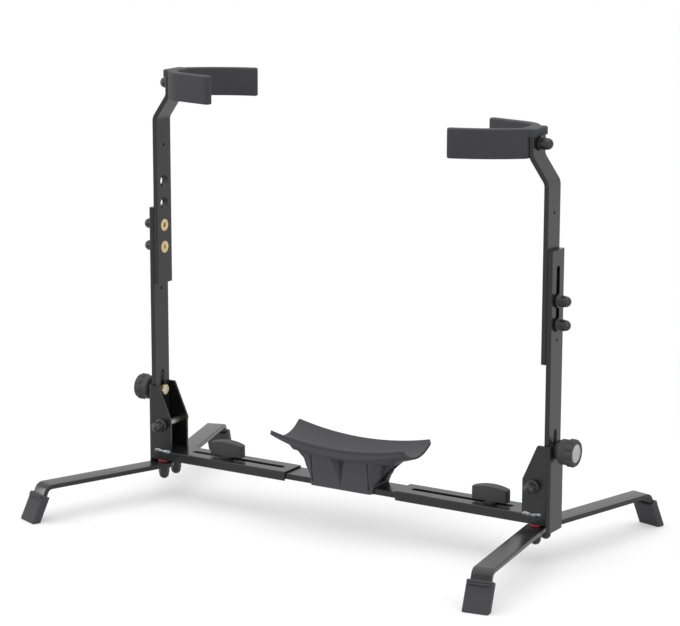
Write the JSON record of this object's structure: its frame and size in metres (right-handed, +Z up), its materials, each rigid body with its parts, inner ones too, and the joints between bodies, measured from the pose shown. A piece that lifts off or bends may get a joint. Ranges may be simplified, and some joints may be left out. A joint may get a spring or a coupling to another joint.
{
  "type": "tuba stand",
  "caption": "Folding floor stand for a tuba: telescoping base beam with a curved saddle, swinging legs and height-adjustable upright arms with C-shaped holders.",
  "frame": {"origin": "middle of the footprint's bounding box, on the floor", "axes": "+X along the base beam, from the raised holder's end to the lower holder's end; +Y from front to back; +Z up"},
  "size_m": [0.7138, 0.4402, 0.567],
  "materials": {
    "black_steel": "semi-gloss black powder coat",
    "black_fasteners": "black, slightly glossy",
    "plated_steel": "zinc plated",
    "brass_screws": "yellow passivated",
    "red_washers": "red nylon",
    "knob_plastic": "matte black moulded plastic",
    "foot_rubber": "matte dark grey rubber",
    "saddle_plastic": "matte dark grey moulding",
    "pad_rubber": "matte dark grey rubber",
    "holder_rubber": "matte dark grey moulded rubber"
  },
  "bodies": {
    "rail": {"centre_rail": "black_steel", "saddle_base": "saddle_plastic", "saddle_pad": "pad_rubber", "saddle_screws": "plated_steel"},
    "left_beam": {"left_channel": "black_steel", "left_bracket": "black_steel", "left_spacer_tube": "plated_steel", "left_cross_bolt": "plated_steel", "left_cross_nuts": "black_fasteners", "left_pivot_plate": "black_steel", "left_pivot_studs": "plated_steel", "left_leg_washers": "red_washers", "left_leg_nuts": "black_fasteners", "left_height_nut": "brass_screws"},
    "left_wing_knob": {"left_wing_knob": "knob_plastic", "left_wing_knob_stud": "plated_steel"},
    "left_height_knob": {"left_height_knob": "knob_plastic", "left_height_knob_stud": "plated_steel"},
    "left_post": {"left_lower_bar": "black_steel"},
    "left_arm": {"left_upper_bar": "black_steel", "left_arm_screws": "brass_screws", "left_arm_nuts": "black_fasteners", "left_holder": "holder_rubber", "left_holder_bolt": "black_fasteners"},
    "left_front_leg": {"left_front_leg": "black_steel", "left_front_foot": "foot_rubber"},
    "left_back_leg": {"left_back_leg": "black_steel", "left_back_foot": "foot_rubber"},
    "right_beam": {"right_channel": "black_steel", "right_bracket": "black_steel", "right_spacer_tube": "plated_steel", "right_cross_bolt": "plated_steel", "right_cross_nuts": "black_fasteners", "right_pivot_plate": "black_steel", "right_pivot_studs": "plated_steel", "right_leg_washers": "red_washers", "right_leg_nuts": "black_fasteners", "right_height_nut": "brass_screws"},
    "right_wing_knob": {"right_wing_knob": "knob_plastic", "right_wing_knob_stud": "plated_steel"},
    "right_height_knob": {"right_height_knob": "knob_plastic", "right_height_knob_stud": "plated_steel"},
    "right_post": {"right_lower_bar": "black_steel"},
    "right_arm": {"right_upper_bar": "black_steel", "right_arm_screws": "brass_screws", "right_arm_nuts": "black_fasteners", "right_holder": "holder_rubber", "right_holder_bolt": "black_fasteners"},
    "right_front_leg": {"right_front_leg": "black_steel", "right_front_foot": "foot_rubber"},
    "right_back_leg": {"right_back_leg": "black_steel", "right_back_foot": "foot_rubber"}
  },
  "joints": [
    {"name": "left_beam_slide", "type": "slide", "parent": "rail", "child": "left_beam", "axis": [-1, 0, 0], "range_m": [-0.0375, 0.0837]},
    {"name": "left_wing_knob_turn", "type": "hinge", "parent": "rail", "child": "left_wing_knob", "pos_m": [-0.17136, 0.00167, 0.064], "axis": [0, 0, 1], "continuous": true},
    {"name": "left_height_knob_turn", "type": "hinge", "parent": "left_beam", "child": "left_height_knob", "pos_m": [-0.28436, 0.00167, 0.1405], "axis": [-1, 0, 0], "continuous": true},
    {"name": "left_post_slide", "type": "slide", "parent": "left_beam", "child": "left_post", "axis": [0, 0, 1], "range_m": [-0.0222, 0.0322]},
    {"name": "left_arm_slide", "type": "slide", "parent": "left_post", "child": "left_arm", "axis": [0, 0, 1], "range_m": [-0.0373, 0.0012]},
    {"name": "left_front_leg_fold", "type": "hinge", "parent": "left_beam", "child": "left_front_leg", "pos_m": [-0.26436, -0.01183, 0.0437], "axis": [0, 0, 1], "range_deg": [-0.85, 110.8]},
    {"name": "left_back_leg_fold", "type": "hinge", "parent": "left_beam", "child": "left_back_leg", "pos_m": [-0.26436, 0.01517, 0.0437], "axis": [0, 0, -1], "range_deg": [-5.85, 105.8]},
    {"name": "right_beam_slide", "type": "slide", "parent": "rail", "child": "right_beam", "axis": [1, 0, 0], "range_m": [-0.0267, 0.1077]},
    {"name": "right_wing_knob_turn", "type": "hinge", "parent": "rail", "child": "right_wing_knob", "pos_m": [0.21864, 0.00167, 0.064], "axis": [0, 0, 1], "continuous": true},
    {"name": "right_height_knob_turn", "type": "hinge", "parent": "right_beam", "child": "right_height_knob", "pos_m": [0.30764, 0.00167, 0.1405], "axis": [1, 0, 0], "continuous": true},
    {"name": "right_post_slide", "type": "slide", "parent": "right_beam", "child": "right_post", "axis": [0, 0, 1], "range_m": [-0.0222, 0.0322]},
    {"name": "right_arm_slide", "type": "slide", "parent": "right_post", "child": "right_arm", "axis": [0, 0, 1], "range_m": [-0.0003, 0.0382]},
    {"name": "right_front_leg_fold", "type": "hinge", "parent": "right_beam", "child": "right_front_leg", "pos_m": [0.28764, -0.01183, 0.0437], "axis": [0, 0, -1], "range_deg": [-14.85, 96.8]},
    {"name": "right_back_leg_fold", "type": "hinge", "parent": "right_beam", "child": "right_back_leg", "pos_m": [0.28764, 0.01517, 0.0437], "axis": [0, 0, 1], "range_deg": [-7.85, 103.8]}
  ]
}
